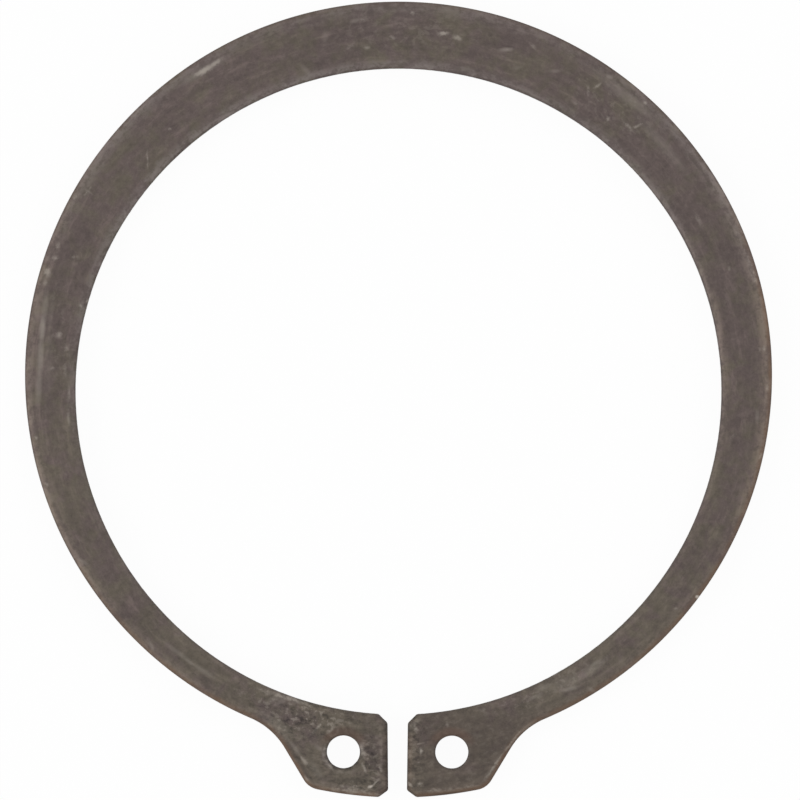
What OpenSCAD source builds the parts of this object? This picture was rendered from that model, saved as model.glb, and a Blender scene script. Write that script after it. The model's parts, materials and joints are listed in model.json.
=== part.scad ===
// External retaining ring for a shaft groove, blanked from spring-steel strip: a beam that tapers
// towards the gap, and two lugs with holes for the tips of the pliers. It is drawn free, as it is
// before it is sprung over the shaft. It lies on z = 0 about the Z axis, with its gap at -Y.
// The die rolled its top edges over, and left those of the bottom face sharp.

/* [Ring] */
// Inner diameter of the free ring
free_inner_d = 60.8; // [50:0.1:75]
// Thickness of the strip
thickness = 2.5; // [1.5:0.05:4]
// Radial width of the beam opposite the gap
beam_w = 6.3; // [5:0.1:8]
// Radial width that the beam tapers to on the gap's centreline
beam_end_w = 3.2; // [2:0.1:4.5]

/* [Lugs] */
// Radial height of the lugs
lug_h = 7.8; // [6.5:0.1:9.4]
// From the centreline to the lug's outer corner, before the heel is rounded
lug_reach = 8.4; // [7:0.1:10.5]
// Lean of the lug's flank from the centreline
flank_angle = 31; // [25:0.5:38]
// Radius of the heel, where the flank turns into the outer arc
heel_r = 1.9; // [1.2:0.1:2.3]
// Radius of the fillet between the flank and the beam
fillet_r = 6.9; // [3:0.1:8.5]
// Diameter of the plier holes
hole_d = 3.1; // [2:0.1:3.8]
// Distance between the plier holes
hole_spacing = 10.2; // [8.5:0.1:12.3]

/* [Gap] */
// Width of the gap at the bore
gap_inner_w = 1.92; // [1.2:0.02:2.4]
// Width of the gap at the outer arc
gap_outer_w = 1.75; // [1.2:0.02:2.4]
// Chamfer of the lug's corner at the bore
inner_chamfer = 0.8; // [0.4:0.05:1.2]
// Width of the chamfer of the lug's corner at the outer arc
outer_chamfer_w = 0.95; // [0.4:0.05:1.2]
// Height of the chamfer of the lug's corner at the outer arc
outer_chamfer_h = 0.7; // [0.4:0.05:1.2]

/* [Edges] */
// Width of the band that the die rolled over, in from the wall
roll_w = 0.7; // [0.4:0.05:0.85]
// Drop of the rolled edge at the wall
roll_h = 0.22; // [0.16:0.02:0.32]
// Width of the rolled band along the gap
gap_roll_w = 0.5; // [0.3:0.05:0.6]
// Drop of the rolled edge at the gap's walls
gap_roll_h = 0.16; // [0.1:0.02:0.2]
// Width of the rolled band round the plier holes
hole_roll_w = 0.3; // [0.2:0.05:0.5]
// Drop of the rolled edge at the walls of the plier holes
hole_roll_h = 0.12; // [0.08:0.01:0.2]

/* [Hidden] */
$fn = 180;

// Arcs that blend into each other or into a straight edge cross by this much instead of only touching
blend = 0.006;
// How far cutting shapes reach past the metal
reach = 1;
// Slope at which the rolled corners leave the top face
roll_start = 6;

inner_r = free_inner_d / 2;
lug_r = inner_r + lug_h;
// The rim is a circle set off from the bore, away from the gap, which tapers the beam
rim_r = inner_r + (beam_w + beam_end_w) / 2;
rim_c = [0, (beam_w - beam_end_w) / 2];

// The right lug's flank: from its corner on the outer arc, up along flank_dir, with the metal on its left
corner = [lug_reach, -sqrt(lug_r * lug_r - lug_reach * lug_reach)];
flank_dir = [sin(flank_angle), cos(flank_angle)];
flank_out = [cos(flank_angle), -sin(flank_angle)];

// The point nearest to p, along dir, that lies r from c
function slid(p, dir, c, r) =
    let (along = (p - c) * dir, half = sqrt(along * along - (p - c) * (p - c) + r * r))
    p + (sign(along) * half - along) * dir;

// The heel touches the outer arc and the flank from inside the metal, and the fillet touches the flank
// and the rim from outside
heel_c = slid(corner - heel_r * flank_out, flank_dir, [0, 0], lug_r - heel_r);
fillet_c = slid(corner + fillet_r * flank_out, flank_dir, rim_c, rim_r + fillet_r);
heel_on_arc = heel_c * lug_r / (lug_r - heel_r);
heel_on_flank = heel_c + heel_r * flank_out;
fillet_on_flank = fillet_c - fillet_r * flank_out;
fillet_on_rim = rim_c + (fillet_c - rim_c) * rim_r / (rim_r + fillet_r);

// The plier holes sit at half the height of the lugs
hole_x = hole_spacing / 2;
hole_c = [hole_x, -sqrt(pow(inner_r + lug_h / 2, 2) - hole_x * hole_x)];

// The right lug's gap face, and the chamfers at both of its ends
function gap_face(y) =
    [gap_outer_w + (gap_inner_w - gap_outer_w) * (y + lug_r) / lug_h, 2 * y] / 2;
face_top = gap_face(-inner_r - inner_chamfer);
face_bottom = gap_face(-lug_r + outer_chamfer_h);
chamfer_top = face_top + [1, 1] * (inner_chamfer + reach);
chamfer_bottom = face_bottom + [outer_chamfer_w, -outer_chamfer_h] * 2;

function direction(v) = atan2(v.y, v.x);
function mirrored(points) = [for (i = [len(points) - 1:-1:0]) [-points[i].x, points[i].y]];

// Section of the corner that the die rolled off: x runs into the metal from the wall. Its arc meets the
// top face at roll_start, and the wall more steeply.
module roll_section(w, h) {
    slope = atan2(h, w);
    r = norm([w, h]) / 2 / sin(slope - roll_start);
    over = h;
    difference() {
        translate([-over, thickness - h - over]) square([over + w * 1.1, h + over + reach]);
        translate([w, thickness] + r * [sin(roll_start), -cos(roll_start)]) circle(r);
    }
}

// The corner rolled off along a circle, with the metal outside it
module roll_in(r, w = roll_w, h = roll_h) rotate_extrude() translate([r, 0]) roll_section(w, h);

// The same with the metal inside it
module roll_out(r) rotate_extrude() translate([r, 0]) mirror([1, 0]) roll_section(roll_w, roll_h);

// The corner rolled off along a straight edge from a to b, with the metal on its left. It runs on past a,
// where the next edge turns away from it, and past b too if the edge there does.
module roll_along(a, b, w = roll_w, h = roll_h, past_b = reach) {
    dir = (b - a) / norm(b - a);
    translate(a - dir * reach)
        rotate(direction(dir) + 90)
            rotate([90, 0, 0])
                linear_extrude(reach + norm(b - a) + past_b) roll_section(w, h);
}

// A wedge through the whole thickness, from c to beyond a and b
module wedge(c, a, b) {
    far = 10;
    translate([0, 0, -reach])
        linear_extrude(thickness + 3 * reach)
            polygon([c, c + (a - c) * far, c + (a + b - 2 * c) * far, c + (b - c) * far]);
}

// What is drawn for the right side, and again for the left
module both_sides() {
    children();
    mirror([1, 0]) children();
}

// Half of both lugs' outline, with the wedge that the fillet is cut from
module lug() {
    difference() {
        intersection() {
            circle(lug_r);
            polygon([
                [0, 0], [0, -lug_r - reach], corner - flank_dir * lug_h,
                fillet_on_flank, fillet_c, fillet_on_rim
            ]);
        }
        translate(fillet_c) circle(fillet_r + blend);
        difference() {
            polygon([
                heel_c, heel_on_flank + flank_out * reach,
                corner + (flank_out - flank_dir) * lug_h, heel_on_arc * (1 + reach / lug_r)
            ]);
            translate(heel_c) circle(heel_r + blend);
        }
    }
}

module gap() {
    right = [
        [0, reach - inner_r], chamfer_top, face_top, face_bottom, chamfer_bottom, [0, -lug_r - lug_h]
    ];
    polygon(concat(right, mirrored(right)));
}

// The flat blank: the eccentric beam with its lugs, cut by the bore, the gap and the plier holes
module blank() {
    difference() {
        union() {
            translate(rim_c) circle(rim_r);
            both_sides() lug();
        }
        circle(inner_r);
        gap();
        both_sides() translate(hole_c) circle(d = hole_d);
    }
}

// The corners rolled off along the right lug's fillet, flank and heel. The fillet's runs on a little past
// the flank and the rim, where it leaves the metal.
module fillet_roll() {
    rim_dir = (fillet_on_rim - rim_c) / rim_r;
    on_along_rim = [-rim_dir.y, rim_dir.x] * reach / 2;
    on_along_flank = -flank_dir * reach / 2;
    intersection() {
        translate(fillet_c) roll_in(fillet_r + blend);
        wedge(fillet_c, fillet_on_flank + on_along_flank, fillet_on_rim + on_along_rim);
    }
}

module flank_roll() roll_along(corner, fillet_on_flank, past_b = 0);

module heel_roll() {
    intersection() {
        translate(heel_c) roll_out(heel_r + blend);
        wedge(heel_c, heel_on_arc, heel_on_flank);
    }
}

// The corners rolled off along the right side of the gap. Those of the chamfers come between the gap's
// own and those of the rest of the outline.
module gap_roll() {
    chamfer_w = (gap_roll_w + roll_w) / 2;
    chamfer_h = (gap_roll_h + roll_h) / 2;
    roll_along(chamfer_top, face_top, chamfer_w, chamfer_h);
    roll_along(face_top, face_bottom, gap_roll_w, gap_roll_h);
    roll_along(face_bottom, chamfer_bottom, chamfer_w, chamfer_h);
}

// The rolled edges are cut in stages, as those that blend into each other only just cross: first those of
// the rim, the bore and the plier holes
module rolled_beam() {
    difference() {
        linear_extrude(thickness) blank();
        roll_in(inner_r);
        difference() {
            translate(rim_c) roll_out(rim_r);
            wedge(rim_c, fillet_on_rim, [-fillet_on_rim.x, fillet_on_rim.y]);
        }
        both_sides() translate(hole_c) roll_in(hole_d / 2, hole_roll_w, hole_roll_h);
    }
}

// then those of the flanks
module rolled_flanks() {
    difference() {
        rolled_beam();
        both_sides() flank_roll();
    }
}

// then those of the fillets, which join the two
module rolled_fillets() {
    difference() {
        rolled_flanks();
        both_sides() fillet_roll();
    }
}

// then those of the lugs' outer arc and heels
module rolled_lugs() {
    difference() {
        rolled_fillets();
        roll_out(lug_r);
        both_sides() heel_roll();
    }
}

// and last those of the gap.
module retaining_ring() {
    color([0.38, 0.35, 0.33])
    difference() {
        rolled_lugs();
        both_sides() gap_roll();
    }
}

retaining_ring();
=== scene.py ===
"""Looks of an external retaining ring for a shaft groove: a punched ring of spring steel, matt with
grey-brown phosphate, that lies flat on its sharp face, with its gap at -Y. Sizes are in millimetres until
the mesh is made, and a point in plan is one complex number, x + iy."""

import json
import math
from types import SimpleNamespace

import bpy
import numpy as np
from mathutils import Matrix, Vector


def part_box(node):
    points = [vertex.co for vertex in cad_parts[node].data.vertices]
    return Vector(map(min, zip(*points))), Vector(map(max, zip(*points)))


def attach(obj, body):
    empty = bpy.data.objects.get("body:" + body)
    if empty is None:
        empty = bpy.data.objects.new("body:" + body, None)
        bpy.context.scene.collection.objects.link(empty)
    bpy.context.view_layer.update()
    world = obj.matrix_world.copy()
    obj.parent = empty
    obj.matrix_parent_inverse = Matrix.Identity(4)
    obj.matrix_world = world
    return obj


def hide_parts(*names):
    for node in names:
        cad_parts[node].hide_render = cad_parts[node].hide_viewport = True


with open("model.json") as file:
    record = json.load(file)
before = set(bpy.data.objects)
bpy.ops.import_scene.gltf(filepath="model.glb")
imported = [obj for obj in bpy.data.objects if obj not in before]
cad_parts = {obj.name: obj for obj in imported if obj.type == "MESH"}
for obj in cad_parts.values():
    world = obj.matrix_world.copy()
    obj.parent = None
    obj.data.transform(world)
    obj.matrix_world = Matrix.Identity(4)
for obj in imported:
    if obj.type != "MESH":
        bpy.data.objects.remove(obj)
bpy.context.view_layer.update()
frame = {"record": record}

MM = 0.001
NODE = "retaining_ring"

# What the frame states, and what follows from it
low, high = (np.array(corner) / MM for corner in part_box(NODE))
mounts = {mount["name"]: mount for mount in frame["record"]["mounts"]}
THICKNESS = high[2]
BORE_R = mounts["shaft_seat"]["dims"]["r_mm"]
HOLE_R = mounts["plier_hole_right"]["dims"]["r_mm"]
HOLE = complex(*mounts["plier_hole_right"]["pos_m"][:2]) / MM
RIM_R = (high[0] - low[0]) / 2
RIM_CENTRE = 1j * (high[1] - RIM_R)
BEAM_MIDDLE_R = (BORE_R + RIM_R) / 2

# The lugs and the gap, whose corners are eased less at the inner border of the rolled band
LUG_R = BORE_R + 7.8
LUG_REACH = 8.4
FLANK_LEAN = math.radians(31)
HEEL_R = 1.9
FILLET_R = 6.9
GAP_AT_BORE = 1.92
GAP_AT_LUG_ARC = 1.75
BORE_CHAMFER = 0.8
NOSE_CHAMFER = complex(0.95, -0.7)
CORNER_EASE = 0.16
INNER_EASE = CORNER_EASE / 3

# The corners that the die rolled over, as the solid has them: width of the band and drop at the wall
ROLL = np.array([0.7, 0.22])
GAP_ROLL = np.array([0.5, 0.16])
HOLE_ROLL = np.array([0.3, 0.12])
# Distances from the gap's middle where the outline's roll starts to become the gap's, and where it has
GAP_ROLL_START = 2.2
GAP_ROLL_END = 1.2
# The mesh's section of a roll, in shares of that drop: a parabola, with the share of it that is a straight
# slope, and the small round that ends it lower down, with the power by which that sets in
ROLL_PARABOLA = 0.85
ROLL_SLOPE = 0.3
ROLL_ROUND = 0.5
ROUND_POWER = 8
# How uneven the band's width is, and in how many waves round the outline
ROLL_UNEVENNESS = 0.08
ROLL_WAVES = 60

# The wall under a roll, in shares of its height: where it stopped being cut and broke, how far that line
# wavers, how far above and below it the break sets in, where the die's lines are at full depth, and where the
# sharp corner starts
CUT_SHARE = 0.46
CUT_WAVER = 0.05
BREAK_ABOVE = 0.05
BREAK_BELOW = 0.07
DIE_LINE_FULL = 0.2
SHARP_CORNER_START = 0.93
# How far the wall falls back there, in millimetres, the lean being that for its whole height
DIE_LINE_DEPTH = 0.004
BREAK_STEP = 0.02
BREAK_LEAN = 0.04
CRUMB_DEPTH = 0.011
SHARP_CORNER_EASE = 0.05
# Their waves in a millimetre along the wall, and how far the crumbs drift down it
CUT_WAVES = 0.2
DIE_LINES = 1.6
CRUMBS = 0.9
CRUMB_DRIFT = 4
# Width of the band of faces under the wall, on the sharp face
SHARP_BAND = 0.45

# Stations along the outline, per half ring, and rows across it
BEAM_STEPS = 360
BORE_STEPS = 34
CHAMFER_STEPS = 4
FACE_STEPS = 26
LUG_ARC_STEPS = 24
HEEL_STEPS = 10
FLANK_STEPS = 16
FILLET_STEPS = 6
EASE_POINTS = 5
ROLL_ROWS = 9
WALL_ROWS = 14
BEAM_ROWS = 7
LUG_ROWS = 8

# The beam is gridded down to this polar angle, and the lugs round their holes
BEAM_END = math.radians(-70)
# How far the spokes round a plier hole are moved towards even spacing
SPOKE_EVENING = 0.3
# Edges that turn further than this are shaded sharp
SHARP_TURN = math.radians(38)

waves = np.random.default_rng(65)


def dot(a, b):
    """Sum of the products of two plan points' parts."""
    return (a * np.conj(b)).real


def slid(point, direction, centre, radius):
    """The place nearest to point, along direction, that lies radius from centre."""
    along = dot(point - centre, direction)
    half = np.sqrt(along**2 - abs(point - centre) ** 2 + radius**2)
    return point + (np.sign(along) * half - along) * direction


def crossing(point, direction, other, other_direction):
    """Where two lines meet: point moved along its line until it has no offset from the other line."""
    across = 1j * other_direction
    return point + direction * dot(other - point, across) / dot(direction, across)


def unit(vector):
    """A vector divided by its length."""
    return vector / abs(vector)


def arc(centre, radius, start, end, count):
    """Centre plus radius turned through evenly spaced angles from start, with the end left out."""
    return centre + radius * np.exp(1j * np.linspace(start, end, count, endpoint=False))


def line(start, end, count):
    """Evenly spaced points from start, with the end left out."""
    return start + (end - start) * np.linspace(0, 1, count, endpoint=False)


def eased(corner, before, after, ease):
    """A corner rounded by a parabola that touches both of its edges at the distance ease from it."""
    s = np.linspace(0, 1, EASE_POINTS)
    return (1 - s) ** 2 * (corner - ease * before) + 2 * s * (1 - s) * corner + s**2 * (corner + ease * after)


flank_along = np.exp(1j * (math.pi / 2 - FLANK_LEAN))
flank_out = -1j * flank_along
lug_corner = slid(complex(LUG_REACH, -LUG_R), 1j, 0, LUG_R)
heel = slid(lug_corner - HEEL_R * flank_out, flank_along, 0, LUG_R - HEEL_R)
fillet = slid(lug_corner + FILLET_R * flank_out, flank_along, RIM_CENTRE, RIM_R + FILLET_R)
face_slope = (GAP_AT_BORE - GAP_AT_LUG_ARC) / 2 / (LUG_R - BORE_R)
face_top = complex(GAP_AT_BORE / 2 - face_slope * BORE_CHAMFER, -BORE_R - BORE_CHAMFER)
face_bottom = complex(GAP_AT_LUG_ARC / 2 - face_slope * NOSE_CHAMFER.imag, -LUG_R - NOSE_CHAMFER.imag)


def beam_outer(angle, inset):
    """The beam's outer edge at polar angles, moved in by inset: the rim's circle, and from where the fillet
    touches it on, the fillet's circle, each met by the ray from the origin."""
    ray = np.exp(1j * angle)
    rim_along = dot(RIM_CENTRE, ray)
    on_rim = rim_along + np.sqrt((RIM_R - inset) ** 2 - abs(RIM_CENTRE) ** 2 + rim_along**2)
    fillet_along = dot(fillet, ray)
    depth = (FILLET_R + inset) ** 2 - abs(fillet) ** 2 + fillet_along**2
    on_fillet = fillet_along - np.sqrt(np.maximum(depth, 0))
    touch = RIM_CENTRE + (fillet - RIM_CENTRE) * (RIM_R - inset) / (RIM_R + FILLET_R)
    return np.where(angle < np.angle(touch), on_fillet, on_rim) * ray


def half_outline(inset, ease):
    """The right half of the outline, moved into the metal by inset, from the top of the bore down to the gap,
    round the lug and up the rim to its top. Each stretch is an arc or a line, and the gap's four corners are
    eased. The metal is on the left all along."""
    straights = [
        (face_top, unit(complex(-1, -1))),
        (face_top, unit(face_bottom - face_top)),
        (face_bottom, unit(NOSE_CHAMFER)),
    ]
    upper, face, nose = [(point + 1j * along * inset, along) for point, along in straights]
    corners = [
        slid(*upper, 0, BORE_R + inset),
        crossing(*upper, *face),
        crossing(*face, *nose),
        slid(*nose, 0, LUG_R - inset),
    ]
    headings = [-1j * unit(corners[0]), upper[1], face[1], nose[1], 1j * unit(corners[3])]
    rounds = [eased(c, a, b, ease) for c, a, b in zip(corners, headings, headings[1:])]
    links = [
        line(a[-1], b[0], steps)[1:]
        for a, b, steps in zip(rounds, rounds[1:], (CHAMFER_STEPS, FACE_STEPS, CHAMFER_STEPS))
    ]
    lean = np.angle(flank_out)
    fillet_end = np.angle(beam_outer(np.array([BEAM_END]), inset)[0] - fillet)
    beam_angles = np.linspace(BEAM_END, math.pi / 2, BEAM_STEPS + 1)
    return np.concatenate([
        arc(0, BORE_R + inset, math.pi / 2, BEAM_END, BEAM_STEPS),
        arc(0, BORE_R + inset, BEAM_END, np.angle(rounds[0][0]), BORE_STEPS),
        rounds[0], links[0], rounds[1], links[1], rounds[2], links[2], rounds[3],
        arc(0, LUG_R - inset, np.angle(rounds[3][-1]), np.angle(heel), LUG_ARC_STEPS)[1:],
        arc(heel, HEEL_R - inset, np.angle(heel), lean, HEEL_STEPS),
        line(heel + (HEEL_R - inset) * flank_out, fillet - (FILLET_R + inset) * flank_out, FLANK_STEPS),
        arc(fillet, FILLET_R + inset, lean + math.pi, fillet_end % (2 * math.pi), FILLET_STEPS),
        beam_outer(beam_angles, inset),
    ])


def whole_outline(inset, ease):
    """The right half and its mirror image, as one closed path."""
    right = half_outline(inset, ease)
    return np.concatenate([right, -np.conj(right[-2:0:-1])])


def ripple(along, across, cycles, drift, count=24):
    """Smooth noise of about -1 to 1: a sum of waves with whole numbers of cycles along a closed path, whose
    phases also drift across it."""
    number = waves.integers(max(1, round(cycles / 3)), max(3, round(cycles)), count)
    slope = waves.uniform(-drift, drift, count)
    phase = waves.uniform(0, 2 * math.pi, count)
    turns = 2 * math.pi * (along[..., None] * number + across[..., None] * slope) + phase
    return np.sin(turns).sum(-1) / math.sqrt(count)


def smooth(start, end, value):
    """0 before start, 1 after end and, between them, three squares less two cubes of the share gone."""
    t = np.clip((value - start) / (end - start), 0, 1)
    return t * t * (3 - 2 * t)


def punched_edge(share, length, width, drop):
    """Section of a punched edge, carried along a closed path: insets from the wall, heights and how broken
    the wall is, one row each from the top face over the rolled corner, down the wall and under onto the sharp
    face. The roll is a gentle parabola that ends in a small round. Below a wavy line the wall broke instead
    of being cut, so it is rough there and falls back a little. share runs from 0 to 1 round the path, which
    is length long."""
    x = np.sin(np.linspace(0, math.pi / 2, ROLL_ROWS))[:, None] * np.ones_like(share)
    fall = ROLL_PARABOLA * (ROLL_SLOPE * x + (1 - ROLL_SLOPE) * x**2)
    fall = fall + ROLL_ROUND * (1 - np.sqrt(1 - x**ROUND_POWER))
    roll_inset = (1 - x) * width
    roll_height = THICKNESS - fall * drop

    down = np.linspace(0, 1, WALL_ROWS + 1)[1:, None] * np.ones_like(share)
    around = share * np.ones_like(down)
    cut_depth = CUT_SHARE + CUT_WAVER * ripple(share, 0 * share, CUT_WAVES * length, 0)
    broken = smooth(cut_depth - BREAK_ABOVE, cut_depth + BREAK_BELOW, down)
    drawn = 1 + ripple(share, 0 * share, DIE_LINES * length, 0)
    lines = DIE_LINE_DEPTH * drawn * smooth(0, DIE_LINE_FULL, down)
    crumbs = CRUMB_DEPTH * (1 + ripple(around, down, CRUMBS * length, CRUMB_DRIFT))
    tear = (BREAK_STEP + crumbs + BREAK_LEAN * np.maximum(down - cut_depth, 0)) * broken
    corner = SHARP_CORNER_EASE * smooth(SHARP_CORNER_START, 1, down)
    wall_inset = np.maximum(lines + tear + corner, 0)
    wall_height = roll_height[-1] * (1 - down)

    under_inset = SHARP_BAND * np.ones_like(share)[None]
    return (
        np.concatenate([roll_inset, wall_inset, under_inset]),
        np.concatenate([roll_height, wall_height, 0 * under_inset]),
        np.concatenate([0 * roll_inset, broken, 0 * under_inset]),
    )


class Atlas:
    """The square that finishes are baked to, in millimetres, where unrolled strips lie in rows."""

    def __init__(self, side, space):
        self.side = side
        self.space = space
        self.x = self.y = space
        self.row = 0.0

    def place(self, length, height):
        """Lower left corner of the next free place of that size."""
        if self.x + length + self.space > self.side:
            self.x = self.space
            self.y += self.row + self.space
            self.row = 0.0
        corner = self.x, self.y
        self.x += length + self.space
        self.row = max(self.row, height)
        return corner

    def strip(self, along, across):
        """Places of a strip's faces, cut into equal lengths that fit on a row: two grids of one more row and
        column than the faces have become four corners for each face."""
        length = along.max() - along.min()
        cuts = math.ceil(length / (self.side - 2 * self.space))
        piece = length / cuts
        starts = np.array([self.place(piece, across.max() - across.min()) for _ in range(cuts)])
        u = face_corners(along - along.min())
        v = face_corners(across - across.min())
        cut = np.minimum((u.mean(1) / piece).astype(int), cuts - 1)
        u += (starts[cut, 0] - cut * piece)[:, None]
        v += starts[cut, 1][:, None]
        return np.stack([u, v], axis=-1) / self.side


def face_corners(grid):
    """The four corners of every face of a grid, whose normals point up where columns run along a path with
    the metal on its left and rows run outwards."""
    return np.stack([grid[:-1, :-1], grid[1:, :-1], grid[1:, 1:], grid[:-1, 1:]], axis=-1).reshape(-1, 4)


class RingMesh:
    """Vertices, faces and baking places of the ring, gathered grid by grid."""

    def __init__(self):
        self.plan = np.zeros(0, complex)
        self.height = np.zeros(0)
        self.edge = np.zeros(0)
        self.broken = np.zeros(0)
        self.faces = []
        self.places = []
        self.atlas = Atlas(side=70.0, space=0.35)

    def points(self, plan, height, edge, broken=0.0):
        """Adds points, with their distance from the nearest edge and how far they lie in a wall's break
        zone, and returns their numbers as a grid."""
        first = len(self.plan)
        every = np.ones(plan.shape)
        self.plan = np.append(self.plan, plan)
        self.height = np.append(self.height, height * every)
        self.edge = np.append(self.edge, edge * every)
        self.broken = np.append(self.broken, broken * every)
        return first + np.arange(plan.size).reshape(plan.shape)

    def flat_rows(self, first, last, steps, height):
        """Adds rows of points at even steps between two rows of point numbers, on a flat face, and returns
        the grid of all their numbers. A new point's distance from the nearest edge is the shorter of those
        by way of the two rows."""
        start, end = self.plan[first], self.plan[last]
        s = np.linspace(0, 1, steps + 1)[1:-1, None]
        reach = np.abs(end - start)
        edge = np.minimum(self.edge[first] + s * reach, self.edge[last] + (1 - s) * reach)
        inner = self.points(start + (end - start) * s, height, edge)
        return np.vstack([first, inner, last])

    def skin(self, grid, along, across, underside=False):
        """Adds the faces of a grid of point numbers, turned over on an underside."""
        corners = face_corners(grid)
        places = self.atlas.strip(along, across)
        self.faces.append(corners[:, ::-1] if underside else corners)
        self.places.append(places[:, ::-1] if underside else places)

    def closed_band(self, grid, inset, height, underside=False):
        """Adds a grid whose last column joins its first, unrolled by its lengths along and across."""
        joined = np.column_stack([grid, grid[:, :1]])
        path = self.plan[joined[ROLL_ROWS]]
        along = np.append(0, np.abs(np.diff(path)).cumsum())
        section = np.hypot(np.diff(inset, axis=0), np.diff(height, axis=0)).mean(1)
        across = np.append(0, section.cumsum())
        self.skin(joined, *np.meshgrid(along, across), underside=underside)

    def make(self, name):
        """The finished mesh object, in metres, shaded smooth but for its sharp edges."""
        mesh = bpy.data.meshes.new(name)
        verts = np.column_stack([self.plan.real, self.plan.imag, self.height]) * MM
        faces = np.concatenate(self.faces)
        mesh.from_pydata(verts, [], faces)
        baking_map = mesh.uv_layers.new(name="OFBake")
        baking_map.data.foreach_set("uv", np.concatenate(self.places).astype(np.float32).ravel())
        for attribute, values in (("edge_distance", self.edge), ("broken_wall", self.broken)):
            layer = mesh.attributes.new(attribute, "FLOAT", "POINT")
            layer.data.foreach_set("value", values.astype(np.float32))
        mesh.validate()
        mesh.shade_smooth()
        mesh.set_sharp_from_angle(angle=SHARP_TURN)
        piece = bpy.data.objects.new(name, mesh)
        bpy.context.scene.collection.objects.link(piece)
        return piece


def lug_faces(ring, loop, hole_centre):
    """One lug: the punched wall of its plier hole, and the flat rings of faces between that and the lug's
    outline, above and below. loop holds the point numbers of the lug's outline on the top and the sharp
    face."""
    aim = np.unwrap(np.angle(ring.plan[loop[0]] - hole_centre))
    even = aim.mean() + 2 * math.pi * (np.arange(len(aim)) / len(aim) - 0.5)
    aim += SPOKE_EVENING * (even - aim)
    share = aim / (2 * math.pi)
    inset, height, broken = punched_edge(share, 2 * math.pi * HOLE_R, *HOLE_ROLL)
    plan = hole_centre + (HOLE_R + inset) * np.exp(1j * aim)
    hole = ring.points(plan, height, inset, broken)
    ring.closed_band(hole, inset, height, underside=True)
    for row, outline, top in ((hole[0], loop[0], True), (hole[-1], loop[1], False)):
        grid = ring.flat_rows(row, outline, LUG_ROWS, THICKNESS if top else 0)
        grid = np.column_stack([grid, grid[:, :1]])
        ring.skin(grid, ring.plan[grid].real, ring.plan[grid].imag, underside=not top)


def build_ring():
    """The ring's closed surface. One punched edge runs round the whole outline. The beam's two faces are
    grids of polar angle by width, and each lug's are grids round its hole. All of them share their border
    points."""
    ring = RingMesh()
    wall = whole_outline(0, CORNER_EASE)
    inward = (whole_outline(ROLL[0], INNER_EASE) - wall) / ROLL[0]
    count = len(wall)
    half = count // 2
    steps = np.abs(np.diff(wall, append=wall[0]))
    share = np.append(0, steps.cumsum()[:-1]) / steps.sum()

    gap_nearness = smooth(GAP_ROLL_START, GAP_ROLL_END, np.abs(wall.real)) * (wall.imag < 0)
    width, drop = (a + (b - a) * gap_nearness for a, b in zip(ROLL, GAP_ROLL))
    width = width * (1 + ROLL_UNEVENNESS * ripple(share, 0 * share, ROLL_WAVES, 0))
    inset, height, broken = punched_edge(share, steps.sum(), width, drop)
    band = ring.points(wall + inset * inward, height, inset, broken)
    ring.closed_band(band, inset, height)

    bore = np.arange(BEAM_STEPS, -BEAM_STEPS - 1, -1) % count
    rim = np.arange(half - BEAM_STEPS, half + BEAM_STEPS + 1)
    seams = []
    for row, top in ((band[0], True), (band[-1], False)):
        grid = ring.flat_rows(row[bore], row[rim], BEAM_ROWS, THICKNESS if top else 0)
        along = np.unwrap(np.angle(ring.plan[grid])) * BEAM_MIDDLE_R
        ring.skin(grid, along, np.abs(ring.plan[grid]) - BORE_R, underside=not top)
        seams.append(grid[1:-1])

    right = np.arange(BEAM_STEPS, half - BEAM_STEPS + 1)
    left = np.arange(half + BEAM_STEPS, count - BEAM_STEPS + 1)
    rows = ((band[0], seams[0]), (band[-1], seams[1]))
    lug_faces(ring, [np.append(row[right], seam[::-1, 0]) for row, seam in rows], HOLE)
    lug_faces(ring, [np.append(row[left], seam[:, -1]) for row, seam in rows], -np.conj(HOLE))
    return ring.make("ring")


def srgb(*levels):
    """Linear colour of a colour written as screen levels of 0 to 255, by the usual screen curve: a short
    straight start and then a power."""
    level = np.array(levels) / 255
    linear = np.where(level <= 0.04045, level / 12.92, ((level + 0.055) / 1.055) ** 2.4)
    return (*linear.tolist(), 1.0)


PURPLE_GREY = srgb(94, 82, 79)
OLIVE_GREY = srgb(92, 84, 74)
LUG_BROWN = srgb(81, 70, 65)
PALE_FLECK = srgb(150, 141, 131)
# Colours of the rolled edges' lightened shoulders: partly rubbed wear, partly painted highlight
RUBBED_AND_HIGHLIT_GREY = srgb(130, 121, 118)
RUBBED_AND_HIGHLIT_TAN = srgb(134, 119, 106)
BROKEN_WALL = srgb(72, 62, 57)
EDGE_RUST = srgb(108, 84, 67)
HOLE_RUST = srgb(98, 76, 64)
BARE_STEEL = srgb(176, 168, 158)


class Value:
    """A number that changes over a surface: a socket, whose sums and products add Math nodes."""

    def __init__(self, nodes, socket):
        self.nodes = nodes
        self.socket = socket

    def math(self, operation, first, second):
        """A Math node on two values or numbers."""
        return self.nodes.add("ShaderNodeMath", {"operation": operation}, {0: first, 1: second})

    def __add__(self, other):
        return self.math("ADD", self, other)

    def __sub__(self, other):
        return self.math("SUBTRACT", self, other)

    def __mul__(self, other):
        return self.math("MULTIPLY", self, other)

    def __rsub__(self, other):
        return self.math("SUBTRACT", other, self)

    __radd__ = __add__
    __rmul__ = __mul__

    def larger(self, other):
        """The larger of two values."""
        return self.math("MAXIMUM", self, other)


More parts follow.
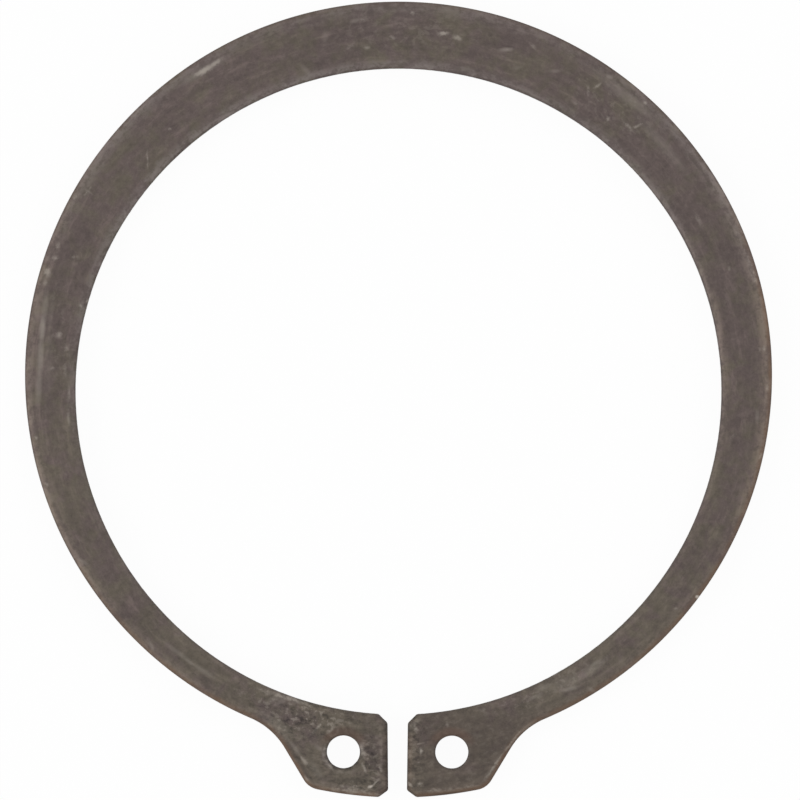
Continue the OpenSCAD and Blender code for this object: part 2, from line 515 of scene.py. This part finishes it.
class Nodes:
    """The nodes of one material or world."""

    def __init__(self, owner):
        owner.use_nodes = True
        self.tree = owner.node_tree
        self.tree.nodes.clear()

    def add(self, kind, settings=None, sockets=None, output=0):
        """Adds a node: its settings first, then the value of each socket or the link to it, by name or
        number. Returns one output."""
        node = self.tree.nodes.new(kind)
        for name, setting in (settings or {}).items():
            setattr(node, name, setting)
        for key, value in (sockets or {}).items():
            socket = self.find(node.inputs, key)
            if isinstance(value, Value):
                self.tree.links.new(value.socket, socket)
            else:
                socket.default_value = value
        return Value(self, self.find(node.outputs, output)) if node.outputs else None

    @staticmethod
    def find(sockets, key):
        """The socket of that number, or of that name among those that the node's settings leave in use."""
        if isinstance(key, int):
            return sockets[key]
        return next(socket for socket in sockets if socket.enabled and socket.name == key)

    def ramp(self, value, start, end, low_level=0.0, high_level=1.0):
        """low_level before start, high_level after end and a smooth step between them."""
        settings = {"interpolation_type": "SMOOTHSTEP"}
        ends = {"From Min": start, "From Max": end, "To Min": low_level, "To Max": high_level}
        return self.add("ShaderNodeMapRange", settings, {"Value": value, **ends})

    def noise(self, place, scale, detail=2.0, roughness=0.55, distortion=0.0):
        """Fractal noise about 0, mostly within -0.25 and 0.25, with scale waves in a millimetre."""
        sockets = {"Vector": place, "Scale": scale, "Detail": detail}
        sockets |= {"Roughness": roughness, "Distortion": distortion}
        return self.add("ShaderNodeTexNoise", {}, sockets) - 0.5

    def mix(self, factor, first, second):
        """A colour between two others."""
        sockets = {"Factor": factor, "A": first, "B": second}
        return self.add("ShaderNodeMix", {"data_type": "RGBA"}, sockets, "Result")

    def vector(self, operation, first, second=None, scale=None):
        """Vector Math on one or two vectors."""
        sockets = {0: first}
        if second is not None:
            sockets[1] = second
        if scale is not None:
            sockets["Scale"] = scale
        output = "Value" if operation in ("LENGTH", "DISTANCE") else "Vector"
        return self.add("ShaderNodeVectorMath", {"operation": operation}, sockets, output)


# Where the photograph shows the ring: its bore's centre and the scale, in pixels, and its turn
PHOTO_SIDE = 800
PHOTO_CENTRE = complex(398.5, 391.6)
PHOTO_SCALE = 10.63
PHOTO_TURN = math.radians(0.14)


def from_photo(x, y):
    """Plan point, in millimetres, that the photograph shows at a pixel."""
    return np.conj(complex(x, y) - PHOTO_CENTRE) / PHOTO_SCALE * np.exp(1j * PHOTO_TURN)


# Marks on the top face: the pixels of the photograph at their two ends, their width in pixels, and their
# strength. They fade to nothing at FADING times their width, and are at full strength from FULL_NEARNESS on,
# where nearness rises from 0 there to 1 in their middle
FADING = 1.25
FULL_NEARNESS = 0.88
# Where the phosphate is rubbed thin, softly
SMEARS = {
    "rim streak, top": (46.5, 290, 43, 330, 8.0, 0.15),
    "rim streak, bright": (43.5, 314, 41.5, 342, 7.0, 0.34),
    "rim streak, foot": (41.5, 336, 39.5, 378, 8.0, 0.24),
    "rim streak, low end": (40, 366, 38, 404, 8.0, 0.18),
    "rim streak, inner": (53, 296, 48, 338, 7.0, 0.06),
    "rim streak, beside": (49.5, 318, 46.5, 402, 13.0, 0.05),
    "upper left rim": (129.5, 120, 144, 105.5, 4.6, 0.11),
    "long rub's ends": (182, 84, 226, 57, 9.0, 0.2),
    "upper left smear": (302.5, 66.8, 309.5, 74.2, 6.5, 0.12),
    "top left smudge": (325.5, 32, 324.5, 42, 7.0, 0.08),
    "top left smear": (351, 22, 360, 19.5, 5.0, 0.17),
    "top right smear": (500, 50, 512, 49.2, 5.0, 0.25),
    "top right smear, low": (513.5, 68.8, 521, 67, 4.8, 0.1),
    "top right smear, far": (550, 71.3, 560, 70.8, 4.6, 0.14),
    "upper right smear": (607.5, 76.3, 611, 77.8, 5.5, 0.19),
    "upper right band": (598, 75, 657, 121, 13.0, 0.13),
    "upper right band, low": (637, 115, 687, 173, 13.0, 0.11),
    "right rim, high": (735.4, 228.4, 743.6, 242.6, 6.0, 0.1),
    "right rim": (757.3, 410, 757.2, 422.5, 5.0, 0.14),
    "lower right rim": (589, 688.3, 594.5, 691.5, 5.0, 0.14),
    "lower right streak, tip": (589.5, 667.5, 601.5, 659.5, 5.5, 0.22),
    "lower right streak, end": (581, 677, 603, 661, 12.0, 0.15),
    "lower right streak": (563, 690.4, 577, 686.8, 6.0, 0.25),
    "lower right smudge": (550, 689, 586, 675, 15.0, 0.1),
    "lower right smudge, first": (538, 690, 549, 685, 8.5, 0.14),
    "lower right smudge, pink": (537.5, 697, 541, 694, 6.5, 0.13),
    "right beam end": (528.5, 700, 539, 694.5, 5.0, 0.16),
    "right fillet line": (517, 735, 536, 719.5, 4.6, 0.18),
    "left of left hole, far": (315.5, 746, 322.5, 750.5, 6.0, 0.13),
    "inside left heel": (311, 763, 321, 777, 10.0, 0.09),
    "left flank line, high": (289.5, 740.5, 301, 756.5, 5.0, 0.14),
    "left flank line, top": (279.5, 727.5, 291, 743.5, 4.8, 0.11),
    "left fillet": (262, 714, 290, 734, 13.0, 0.11),
    "left beam end, low": (276, 704.5, 288, 696.5, 7.0, 0.12),
    "left beam end": (269, 701.5, 281, 695.5, 8.0, 0.13),
    "lower left streak, end": (192, 663.5, 214, 678, 6.5, 0.14),
    "lower left streak, core": (183, 657, 196, 666.8, 4.5, 0.17),
    "lower left streak": (165, 643, 194, 664.5, 6.0, 0.13),
    "lower left rim": (148.5, 640, 154, 651, 5.0, 0.14),
    "lower left rim, high": (79, 559, 87.5, 564.7, 5.0, 0.14),
}
# Where it is rubbed through to bare metal, in dots where the mark is weak
RUBS = {
    "long rub": (195, 76, 213, 65, 7.6, 0.6),
    "long rub, thin end": (208, 68, 222, 59, 5.6, 0.5),
    "upright scratch": (147, 149, 148, 168, 2.6, 0.22),
    "nose scratch": (369, 787, 372, 786, 4.0, 0.9),
    "nose scratch, end": (372, 786, 379, 779, 3.2, 0.42),
    "left flank line": (300, 755.5, 309, 766.5, 4.2, 0.3),
    "left heel rub": (305, 775, 307, 780, 4.0, 0.2),
    "left nose fringe": (329, 788.8, 383, 794.8, 6.0, 0.29),
    "left nose fringe, inner": (330, 785.5, 378, 790.5, 6.0, 0.08),
    "arc by left hole": (362, 744, 363.5, 757, 6.0, 0.28),
    "arc below left hole": (363, 765, 366, 772, 3.6, 0.34),
    "left of left hole": (325, 747, 323.5, 757, 5.0, 0.26),
    "lower left of left hole": (324.5, 759.5, 332.5, 769, 5.5, 0.28),
    "under left hole": (335, 772, 352, 772, 5.0, 0.08),
    "left gap line": (380.5, 727, 381.5, 768, 4.0, 0.08),
    "left bore line": (258, 689, 314, 706, 6.0, 0.3),
    "crumb by left nose": (380, 768, 381, 771, 3.6, 0.34),
    "dash above left hole": (311, 735, 322, 723, 3.6, 0.26),
    "dash left of left hole": (329, 732, 335, 726, 3.6, 0.26),
    "right flank line, low": (485.5, 779.5, 505.5, 750, 3.2, 0.3),
    "right flank line, high": (504, 752.5, 522.5, 728.5, 3.2, 0.34),
    "right heel rub": (486, 777, 489, 772, 4.0, 0.2),
    "right gap rub": (413, 723, 416, 731, 5.0, 0.26),
    "speck by right gap": (421, 749, 421, 753, 4.2, 0.5),
    "right nose dash": (417, 785, 422, 783, 4.0, 0.32),
    "right nose corner": (409, 783, 412, 787, 3.6, 0.26),
    "right nose fringe": (464, 788, 478, 785, 4.0, 0.2),
    "right nose line": (424, 792.5, 464, 788.5, 5.0, 0.13),
    "right bore corner": (410.5, 727, 419, 720, 4.5, 0.2),
    "upper right scratch": (594, 88, 600, 84, 3.8, 0.26),
    "upper right scratch, upright": (588, 87, 588.5, 95, 3.6, 0.18),
    "upper right dash": (624, 122, 633, 131, 4.4, 0.28),
    "upper right dash, low": (633.5, 127.5, 643, 123.5, 3.6, 0.36),
    "top dash": (440, 33.5, 447, 33.5, 5.0, 0.48),
    "top cross": (455, 37, 459.5, 38.5, 6.0, 0.34),
    "top smear": (352, 21, 368, 19, 6.0, 0.16),
    "top specks, left": (348, 48, 353, 45, 5.0, 0.16),
    "left cross, one way": (84, 188, 92, 194, 3.2, 0.22),
    "left cross, other way": (85, 195, 91, 187, 3.2, 0.22),
    "left rim dash": (56.8, 248.5, 58.6, 243.5, 4.6, 0.22),
    "inner streak, high": (65, 364, 65, 378, 4.0, 0.14),
    "inner streak, mid": (69, 387, 69, 401, 4.0, 0.16),
    "inner streak, low": (68, 410, 69, 425, 4.0, 0.16),
    "right rim rub": (747, 256, 757, 286, 6.0, 0.14),
    "right mid rub": (695, 213, 702, 226, 5.0, 0.14),
    "left rim speck, top": (74, 198.4, 75, 196.6, 4.0, 0.3),
    "left rim speck, high": (54, 258.2, 57, 257.8, 5.6, 0.28),
    "left rim speck, foot": (36.2, 437.2, 36.9, 438, 4.0, 0.26),
    "left rim speck, last": (46.3, 483.5, 46.3, 485, 4.6, 0.2),
    "left dot, outer": (73.2, 256.8, 73.6, 256.8, 3.6, 0.18),
    "left dot, inner": (77.2, 256, 78, 258, 3.6, 0.18),
    "left rim speck, mid": (47.5, 271, 47.5, 274, 8.0, 0.36),
    "left rim speck, low": (45.5, 283, 45.5, 282, 5.5, 0.2),
    "left inner speck": (87.3, 301.2, 88, 300.5, 3.4, 0.36),
    "left inner speck, low": (80.6, 305.4, 80.8, 306.6, 3.2, 0.3),
    "left speck, high": (58.5, 334.5, 59.5, 334.5, 6.5, 0.28),
    "left speck, mid": (66, 349, 67, 349, 5.0, 0.2),
    "left speck, low": (52, 369, 53, 369, 5.0, 0.18),
    "upper left speck": (169.5, 129, 170.5, 129, 3.4, 0.28),
    "top left speck": (357, 20, 358, 20, 5.0, 0.22),
    "top speck, low": (366, 48, 368, 48, 5.0, 0.22),
    "top speck, mid": (391, 37, 394, 38, 4.4, 0.15),
    "top speck, high": (412, 13.5, 413, 13.5, 4.6, 0.26),
    "top right speck, high": (507, 49.4, 509, 49.6, 4.0, 0.34),
    "top right dash": (531, 43.5, 534.5, 48, 4.0, 0.18),
    "upper right speck, inner": (608, 119, 608, 118, 5.0, 0.28),
    "upper right speck, outer": (645, 103, 646, 103, 4.0, 0.26),
    "upper right speck, first": (576, 103, 577, 103, 4.6, 0.18),
    "right speck": (729, 268, 730, 269, 4.6, 0.2),
    "right rim speck, first": (748, 259.5, 748.6, 261.5, 4.0, 0.24),
    "right rim speck, second": (755.5, 278, 756, 280.5, 3.8, 0.24),
    "right rim speck, top": (764, 346.5, 764, 350.5, 3.8, 0.26),
    "right rim speck, beside": (759.8, 348, 759.8, 351, 3.6, 0.16),
    "right rim speck, mid": (767.4, 386, 767.2, 389.5, 3.6, 0.22),
    "right rim speck, low": (761.4, 454.5, 760.2, 458.5, 3.8, 0.34),
    "right cross": (731, 439, 735.5, 434, 4.0, 0.14),
    "lower right cream speck": (697, 596.7, 697.5, 596.7, 4.4, 1.0),
    "lower right faint speck": (676, 609, 677, 609, 4.0, 0.16),
    "above right hole": (447, 723, 447, 725, 4.6, 0.16),
    "by the right bore edge": (482, 710, 484, 709, 5.0, 0.16),
}
# Where it is darker: dark patches, and painted shade in bands along the lugs' rolled edges
SHADES = {
    # Painted shade along the left lug's flank and heel, on its rolled edge
    "left flank, high": (281.5, 737, 293, 753.5, 5.0, 0.28),
    "left flank, mid": (288, 746, 301, 766, 6.0, 0.44),
    "left flank, low": (298, 760, 310, 780, 6.4, 0.42),
    "left heel": (307, 774, 314.5, 785, 6.0, 0.3),
    "left nose, inside": (310, 777, 323.5, 786, 5.0, 0.13),
    "below left hole": (330, 779, 366, 781, 8.0, 0.22),
    "left gap edge": (385.5, 722, 385.5, 789, 8.0, 0.38),
    "above left hole": (334, 731, 366, 733, 9.0, 0.2),
    "left corner": (362, 722, 380, 735, 12.0, 0.12),
    "right of left hole": (373, 744, 375, 768, 15.0, 0.28),
    "left fillet": (262, 721, 284, 740, 5.0, 0.16),
    "left pit": (83.5, 306, 87, 304, 4.4, 0.26),
    "left rim": (35.8, 320, 34.2, 336, 4.0, 0.13),
    "lower left line": (186, 664.5, 193, 671, 5.0, 0.18),
    "lower left line, end": (195, 674, 215, 684.5, 6.5, 0.13),
    "above lower left streak": (193, 658, 206, 667, 8.0, 0.1),
    "left bore edge": (318, 707, 378, 717, 4.0, 0.06),
    "lower right, inside": (579.5, 689.5, 595, 681, 7.0, 0.11),
    "lower right, inner": (587, 662, 598, 653.2, 6.0, 0.09),
    # Painted shade along the right lug's flank and nose, on its rolled edge
    "right flank edge": (489, 784, 524, 731, 4.0, 0.36),
    "right nose edge": (420, 797, 478, 790, 3.4, 0.36),
    "right bore edge": (416, 716, 500, 700, 4.0, 0.06),
    "right middle": (474, 725, 485, 765, 28.0, 0.14),
    "inside right flank": (494, 755, 518, 722, 16.0, 0.1),
    "below right hole": (440, 776, 470, 780, 12.0, 0.12),
    "right chamfer": (410, 782, 418, 791, 5.0, 0.2),
}
# Where pale flecks lie close together
FLECKED = {
    "above left flank": (288, 712, 334, 722, 46.0, 1.0),
    "left beam end": (240, 690, 290, 712, 30.0, 0.58),
    "left fillet": (262, 712, 296, 736, 22.0, 0.6),
    "right of left hole": (368, 742, 374, 780, 24.0, 0.75),
    "left nose": (330, 786, 380, 786, 14.0, 0.7),
    "right gap side": (414, 722, 416, 772, 18.0, 0.8),
    "right nose": (414, 786, 440, 790, 12.0, 0.7),
    "right beam end": (500, 708, 550, 690, 26.0, 0.35),
    "lower right": (540, 691, 604, 662, 26.0, 0.4),
    "top": (345, 30, 470, 30, 52.0, 0.22),
    "upper right": (585, 85, 650, 130, 52.0, 0.22),
    "left": (58, 300, 55, 370, 44.0, 0.18),
}


def marked(nodes, place, marks):
    """How strongly the strongest of some marks shows at a place. Each mark is an ellipse round the line
    between two pixels of the photograph. It fades to nothing a little outside its width, along a gradient
    that is 1 in its middle."""
    strongest = 0.0
    for x, y, end_x, end_y, width, strength in marks.values():
        first, last = from_photo(x, y), from_photo(end_x, end_y)
        middle = (first + last) / 2
        across = FADING * width / PHOTO_SCALE / 2
        along = FADING * abs(last - first) / 2 + across
        own = nodes.add("ShaderNodeMapping", {"vector_type": "TEXTURE"}, {
            "Vector": place,
            "Location": (middle.real, middle.imag, THICKNESS),
            "Rotation": (0, 0, np.angle(last - first)),
            "Scale": (along, across, 1.0),
        })
        settings = {"gradient_type": "SPHERICAL"}
        nearness = nodes.add("ShaderNodeTexGradient", settings, {"Vector": own}, "Fac")
        strongest = nodes.ramp(nearness, 0.0, FULL_NEARNESS, 0.0, strength).larger(strongest)
    return strongest


def unrolled(nodes, plan, along, across):
    """Coordinates for patterns that follow the ring, with so many units to a millimetre along the middle of
    its beam and across it."""
    round_it = nodes.vector("SCALE", nodes.vector("NORMALIZE", plan), scale=along * BEAM_MIDDLE_R)
    out = nodes.add("ShaderNodeCombineXYZ", {}, {"Z": nodes.vector("LENGTH", plan) * across})
    return nodes.vector("ADD", round_it, out)


def ring_regions(nodes, place, plan):
    """Regions of the ring, each a value that is 1 there and fades to 0 beside it, and two attributes of its
    mesh: the distance from the nearest edge, and how far a wall is broken."""
    x, y, z = [nodes.add("ShaderNodeSeparateXYZ", {}, {"Vector": place}, axis) for axis in "XYZ"]
    at = SimpleNamespace()
    at.edge = nodes.add("ShaderNodeAttribute", {"attribute_name": "edge_distance"}, {}, "Fac")
    at.broken = nodes.add("ShaderNodeAttribute", {"attribute_name": "broken_wall"}, {}, "Fac")
    at.top_face = nodes.ramp(z, THICKNESS - 0.5, THICKNESS - 0.3)
    at.outer = nodes.ramp(nodes.vector("LENGTH", plan), BORE_R + 1.4, BORE_R + 2.2)
    at.upper = nodes.ramp(y, -12.0, 14.0)
    at.upper_left = nodes.ramp(y, 4.0, 18.0) * nodes.ramp(x, 16.0, 0.0)
    at.lower = nodes.ramp(y, -8.0, -33.0)
    quadrant = nodes.vector("ABSOLUTE", plan)
    from_middle = nodes.add("ShaderNodeSeparateXYZ", {}, {"Vector": quadrant}, "X")
    at.sides = nodes.ramp(from_middle, 14.0, 30.0)
    at.right = nodes.ramp(x, 28.0, 33.0) * nodes.ramp(y, -20.0, -8.0)
    at.upper_right = nodes.ramp(x, 12.0, 20.0) * nodes.ramp(y, 20.0, 26.0)
    at.lower_right = nodes.ramp(x, 22.0, 28.0) * nodes.ramp(y, -9.0, -15.0)
    at.left = nodes.ramp(x, -30.0, -34.0)
    at.rust_side = (nodes.ramp(x, 5.0, 30.0) * nodes.ramp(y, 20.0, 6.0)).larger(at.lower)
    at.below_top = nodes.ramp(y, 26.0, 6.0)
    at.lug = nodes.ramp(y, -28.5, -31.5)
    at.right_lug = at.lug * nodes.ramp(x, 0.8, 4.0)
    at.right_flank = at.lug * nodes.ramp(x, 7.0, 9.0)
    from_hole = nodes.vector("DISTANCE", quadrant, (HOLE.real, -HOLE.imag, 0)) - HOLE_R
    at.by_hole = at.lug * nodes.ramp(from_hole, 1.1, 0.4)
    at.by_gap = at.lug * nodes.ramp(from_middle, 2.2, 1.4)
    at.above_hole = at.by_hole * nodes.ramp(y, HOLE.imag + 0.3, HOLE.imag + 1.6)
    return at


def steel_patterns(nodes, place, plan):
    """The finish's fractal noises, from coarse to fine, and two that follow the ring."""
    noise = SimpleNamespace()
    noise.cloud = nodes.noise(place, 0.16)
    noise.hue = nodes.noise(place, 0.5, detail=3.0, roughness=0.6, distortion=0.4)
    noise.mottle = nodes.noise(place, 1.3, detail=4.0, roughness=0.68, distortion=0.5)
    noise.grain = nodes.noise(place, 5.0, detail=3.0, roughness=0.7)
    long_way = unrolled(nodes, plan, along=0.26, across=1.6)
    noise.streak = nodes.noise(long_way, 1.0, detail=3.0, roughness=0.6, distortion=0.2)
    short_way = unrolled(nodes, plan, along=1.7, across=2.3)
    noise.speckle = nodes.noise(short_way, 1.0, detail=3.0, roughness=0.6, distortion=0.15)
    return noise


def flecks_and_pits(nodes, place, at, noise):
    """How strongly pale flecks and dark pits show: a little everywhere, and more on the lugs and where the
    flecks lie close."""
    flecked = marked(nodes, place, FLECKED) * at.top_face
    fleck = nodes.ramp(noise.speckle, 0.03, 0.14) * (0.045 + flecked * 0.42 + at.lug * 0.06)
    pit = nodes.ramp(noise.speckle, -0.02, -0.14) * (0.06 + flecked * 0.24 + at.lug * 0.16)
    return fleck, pit


def rolled_edge(nodes, at, noise):
    """A rolled edge: the distance from it, made jagged, the painted shade that darkens its lip, and how
    strongly its shoulder is lightened, in crumbs, partly as rubbed wear and partly as a painted highlight."""
    jagged = at.edge + noise.mottle * 0.4 + noise.streak * 0.3
    # Painted shade on the lip of the rolled edge: darker low down, much more on the lugs' outer edges, and
    # beside the gap
    darkening = 0.02 + at.lower * 0.03 + at.lug * (0.03 + at.outer * 0.13) + at.by_gap * 0.1
    lip_shade = nodes.ramp(jagged, 0.3, 0.12) * darkening
    fade = 1.1 + at.outer * (0.3 + at.upper * 0.25)
    shoulder = nodes.ramp(jagged - at.lug * 0.15, 0.02, 0.22)
    shoulder = shoulder * nodes.ramp(jagged + noise.mottle * 0.6, fade, 0.22)
    # How much the shoulder is lightened, partly rubbed wear and partly painted highlight: more on the upper
    # and upper left side and at the sides, less at the upper right and lower right
    rubbing_and_highlight = 0.06 + at.upper * 0.19 + at.upper_left * 0.17
    rubbing_and_highlight = rubbing_and_highlight + at.outer * (0.1 - at.upper * 0.14 - at.upper_left * 0.17)
    patchy = at.sides * 0.12 - at.upper_right * 0.08 - at.lower_right * 0.12 - at.left * 0.05
    rubbing_and_highlight = rubbing_and_highlight + at.outer * patchy + at.right * (0.08 + at.outer * 0.06)
    crumbs = noise.streak * 0.8 + noise.speckle * 0.7 + noise.mottle * 0.5
    crumbs = crumbs + noise.grain * 0.4 + noise.hue * 0.5
    crumbling = nodes.ramp(crumbs, -0.18, 0.18, 0.35, 1.55)
    rubbed_and_highlit = shoulder * rubbing_and_highlight * crumbling * (1 - at.by_hole) * (1 - at.right_flank * 0.6)
    return jagged, lip_shade, rubbed_and_highlit


def phosphate_colour(nodes, at, noise, pit, lip_shade):
    """The phosphate from purple-grey to olive, its tone clouded, grained and streaked, darker in pits and on
    the right lug, and darkened on the lip of an edge by painted shade."""
    warmth = noise.hue + noise.cloud * 0.3 + at.lower * 0.1 - at.upper * 0.05
    colour = nodes.mix(nodes.ramp(warmth, -0.16, 0.18), PURPLE_GREY, OLIVE_GREY)
    pattern = noise.cloud * 0.35 + noise.hue * 0.14 + noise.mottle * 0.7
    pattern = pattern + noise.grain * 0.45 + noise.streak * 0.52
    worn_streak = nodes.ramp(noise.streak + noise.mottle * 0.3, 0.05, 0.22) * 0.16
    pattern = pattern * (1 + at.lower * 0.4) - pit + worn_streak
    # Painted shade: the lip of the rolled edge darkens the tone
    tone = 0.935 + at.lower * 0.05 + pattern - lip_shade
    tone = tone - at.lug * 0.035 - at.right_lug * 0.07 - at.above_hole * 0.12
    colour = nodes.vector("SCALE", colour, scale=tone)
    return nodes.mix(at.right_lug * 0.45, colour, LUG_BROWN)


def rusted(nodes, at, noise, jagged, colour):
    """A colour with brown on the outer edges, mostly low down and on the right, and above the plier holes."""
    rusting = at.outer * (0.12 + at.rust_side * 0.5) * nodes.ramp(noise.hue, -0.2, 0.15, 0.6, 1.2)
    rusting = rusting * (1 - at.by_hole) * (1 - at.by_gap * 0.7)
    colour = nodes.mix(nodes.ramp(jagged, 0.6, 0.1) * rusting, colour, EDGE_RUST)
    return nodes.mix(at.above_hole * 0.5, colour, HOLE_RUST)


def bare_metal(nodes, place, at, noise):
    """How bare the metal is: rubs with ragged borders, in dots where they are weak, and soft smears."""
    wander = nodes.add("ShaderNodeTexNoise", {}, {"Vector": place, "Scale": 2.6, "Detail": 2.0}, "Color")
    shift = nodes.vector("SCALE", nodes.vector("SUBTRACT", wander, (0.5, 0.5, 0.5)), scale=0.25)
    ragged = nodes.vector("ADD", place, shift)
    dotted = nodes.ramp(noise.speckle + noise.grain * 0.6 + noise.mottle * 0.6, -0.16, 0.14, 0.4, 1.25)
    rubbed = marked(nodes, ragged, RUBS) * at.top_face
    bare = rubbed * (1 + (dotted - 1) * nodes.ramp(rubbed, 0.5, 0.2))
    return bare.larger(marked(nodes, place, SMEARS) * at.top_face)


def phosphated_steel():
    """Matt grey-brown phosphate on spring steel, in layers: the phosphate with its flecks and painted shade
    on the lip of its edges, rolled edges lightened partly by rubbed wear and partly by a painted highlight,
    walls that are dark where they broke, brown edges, dark patches and, along the lugs' edges, painted shade,
    and marks that go through to bare metal."""
    material = bpy.data.materials.new("phosphated_spring_steel")
    nodes = Nodes(material)
    metres = nodes.add("ShaderNodeTexCoord", {}, {}, "Object")
    place = nodes.vector("SCALE", metres, scale=1 / MM)
    plan = nodes.vector("MULTIPLY", place, (1, 1, 0))
    at = ring_regions(nodes, place, plan)
    noise = steel_patterns(nodes, place, plan)

    fleck, pit = flecks_and_pits(nodes, place, at, noise)
    jagged, lip_shade, rubbed_and_highlit = rolled_edge(nodes, at, noise)
    colour = phosphate_colour(nodes, at, noise, pit, lip_shade)
    colour = nodes.mix(fleck, colour, PALE_FLECK)
    # Rolled edges lightened, partly rubbed wear and partly painted highlight, more tan than grey low down, on
    # the right and on the outer edge
    rubbed_and_highlit_warmth = at.rust_side.larger(at.outer * at.below_top * 0.8)
    colour = nodes.mix(rubbed_and_highlit, colour, nodes.mix(rubbed_and_highlit_warmth, RUBBED_AND_HIGHLIT_GREY, RUBBED_AND_HIGHLIT_TAN))
    colour = nodes.mix(at.broken * 0.35, colour, BROKEN_WALL)
    colour = rusted(nodes, at, noise, jagged, colour)
    shade = marked(nodes, place, SHADES) * at.top_face
    colour = nodes.vector("SCALE", colour, scale=1 - shade)
    bare = bare_metal(nodes, place, at, noise)
    colour = nodes.mix(bare, colour, BARE_STEEL)

    height = noise.grain + noise.mottle * 0.6 + noise.streak * 0.4
    relief = nodes.add("ShaderNodeBump", {}, {"Strength": 0.3, "Distance": 0.03 * MM, "Height": height})
    surface = nodes.add("ShaderNodeBsdfPrincipled", {}, {
        "Base Color": colour,
        "Metallic": bare * 0.5 + 0.2,
        "Roughness": 0.55 + at.broken * 0.2 + noise.grain * 0.15 - rubbed_and_highlit * 0.3 - bare * 0.15,
        "Specular IOR Level": 0.3,
        "Normal": relief,
    })
    nodes.add("ShaderNodeOutputMaterial", {}, {"Surface": surface})
    return material


# The studio: the floor's half side in metres, its drop below the ring in millimetres, how far it glows white
# and its paint under that
FLOOR_HALF = 3.0
FLOOR_DROP = 0.02
FLOOR_WHITENESS = 0.96
FLOOR_PAINT = (0.9, 0.9, 0.9, 1)
WHITE = (1, 1, 1, 1)


def seen_directly(nodes):
    """1 for rays from the camera, also by way of mirrors and glass, and 0 for those that light things."""
    kinds = ("Camera", "Glossy", "Transmission")
    camera, glossy, through = [nodes.add("ShaderNodeLightPath", {}, {}, f"Is {kind} Ray") for kind in kinds]
    return camera.larger(glossy).larger(through)


def white_floor():
    """A plain pale floor just under the ring. It looks white from everywhere, but keeps the ring's shadow."""
    mesh = bpy.data.meshes.new("floor")
    corners = [(-1, -1), (1, -1), (1, 1), (-1, 1)]
    verts = [(x * FLOOR_HALF, y * FLOOR_HALF, -FLOOR_DROP * MM) for x, y in corners]
    mesh.from_pydata(verts, [], [(0, 1, 2, 3)])
    floor = bpy.data.objects.new("floor", mesh)
    bpy.context.scene.collection.objects.link(floor)
    material = bpy.data.materials.new("pale_floor")
    nodes = Nodes(material)
    paint = nodes.add("ShaderNodeBsdfDiffuse", {}, {"Color": FLOOR_PAINT})
    glow = nodes.add("ShaderNodeEmission", {}, {"Color": WHITE, "Strength": 1.0})
    whiteness = seen_directly(nodes) * FLOOR_WHITENESS
    shown = nodes.add("ShaderNodeMixShader", {}, {0: whiteness, 1: paint, 2: glow})
    nodes.add("ShaderNodeOutputMaterial", {}, {"Surface": shown})
    mesh.materials.append(material)


def studio_light(name, azimuth, elevation, level, side):
    """A square soft light, one metre from the ring and side metres wide, at angles in degrees. level is its
    share of the light on the top face, where the shares of all lights and the sky add up to about 1, at which
    a colour renders as it is written."""
    lamp = bpy.data.lights.new(name, "AREA")
    lamp.shape = "SQUARE"
    lamp.size = side
    a, e = math.radians(azimuth), math.radians(elevation)
    lamp.energy = level * math.pi**2 / math.sin(e)
    light = bpy.data.objects.new(name, lamp)
    light.location = (math.cos(a) * math.cos(e), math.sin(a) * math.cos(e), math.sin(e))
    light.rotation_euler = (math.pi / 2 - e, 0, a + math.pi / 2)
    bpy.context.scene.collection.objects.link(light)


def pale_sky(level):
    """An even sky: white where it is seen, and at level where it lights the ring."""
    world = bpy.data.worlds.new("pale_sky")
    bpy.context.scene.world = world
    nodes = Nodes(world)
    strength = level + seen_directly(nodes) * (1 - level)
    sky = nodes.add("ShaderNodeBackground", {}, {"Color": WHITE, "Strength": strength})
    nodes.add("ShaderNodeOutputWorld", {}, {"Surface": sky})


def photo_camera(distance):
    """A camera that looks straight down from that distance, in millimetres, above the top face, with the
    photograph's scale and framing."""
    data = bpy.data.cameras.new("photo_camera")
    width = PHOTO_SIDE / PHOTO_SCALE
    data.sensor_width = 36.0
    data.lens = data.sensor_width * distance / width
    camera = bpy.data.objects.new("photo_camera", data)
    aim = from_photo(PHOTO_SIDE / 2, PHOTO_SIDE / 2)
    camera.location = (aim.real * MM, aim.imag * MM, (THICKNESS + distance) * MM)
    camera.rotation_euler = (0, 0, PHOTO_TURN)
    bpy.context.scene.collection.objects.link(camera)
    bpy.context.scene.camera = camera


ring_piece = build_ring()
ring_piece.data.materials.append(phosphated_steel())
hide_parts(NODE)
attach(ring_piece, "root")

white_floor()
pale_sky(level=0.6)
studio_light("key", azimuth=190, elevation=40, level=0.24, side=0.7)
studio_light("fill", azimuth=40, elevation=45, level=0.16, side=1.0)
photo_camera(distance=1000.0)
bpy.context.scene.view_settings.view_transform = "Standard"
